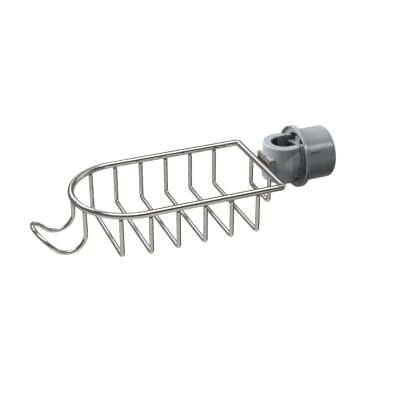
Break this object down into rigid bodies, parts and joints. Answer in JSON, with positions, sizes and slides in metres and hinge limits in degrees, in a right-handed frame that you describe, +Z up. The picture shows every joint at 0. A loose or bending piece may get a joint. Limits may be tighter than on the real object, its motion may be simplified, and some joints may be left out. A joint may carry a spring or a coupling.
{
  "type": "faucet organizer rack",
  "caption": "Stainless wire basket with a round, hooked end that hangs on a plastic screw clamp round a faucet's upright pipe; a flanged nut drives the clamp's pressure block.",
  "frame": {"origin": "point where the axis of the faucet pipe crosses the axis of the clamp nut", "axes": "+Z up along the faucet pipe, +X along the nut away from the basket, +Y across the basket"},
  "size_m": [0.3305, 0.122, 0.0844],
  "materials": {
    "rim_rod_steel": "polished stainless rod, 7 mm",
    "wire_steel": "polished stainless wire, 4.8 mm",
    "sheet_steel": "mirror-polished stainless sheet, 1 mm",
    "grey_abs": "moulded ABS, fine satin",
    "grey_abs_slide": "moulded ABS, plain",
    "black_rubber": "moulded rubber, matt"
  },
  "bodies": {
    "clamp": {"clamp_body": "grey_abs", "pipe_liner": "black_rubber"},
    "basket": {"rim_rod": "rim_rod_steel", "end_rod": "rim_rod_steel", "rib_1": "wire_steel", "rib_2": "wire_steel", "rib_3": "wire_steel", "rib_4": "wire_steel", "rib_5": "wire_steel", "rib_6": "wire_steel", "end_rib": "wire_steel", "hook_wire": "wire_steel", "hanger_plate": "sheet_steel", "hanger_hook": "sheet_steel"},
    "presser": {"pressure_block": "grey_abs_slide", "pressure_pad": "black_rubber"},
    "nut": {"clamp_nut": "grey_abs"}
  },
  "joints": [
    {"name": "basket_lift", "type": "slide", "parent": "clamp", "child": "basket", "axis": [0, 0, 1], "range_m": [0, 0.005]},
    {"name": "presser_slide", "type": "slide", "parent": "clamp", "child": "presser", "axis": [1, 0, 0], "range_m": [-0.0046, 0.0091]},
    {"name": "nut_turn", "type": "hinge", "parent": "presser", "child": "nut", "pos_m": [0.0315, 0, 0], "axis": [1, 0, 0], "range_deg": [-540, 1080]}
  ],
  "couplings": [
    {"joint": "presser_slide", "follows": "nut_turn", "m_per_rad": 0.00047746}
  ]
}
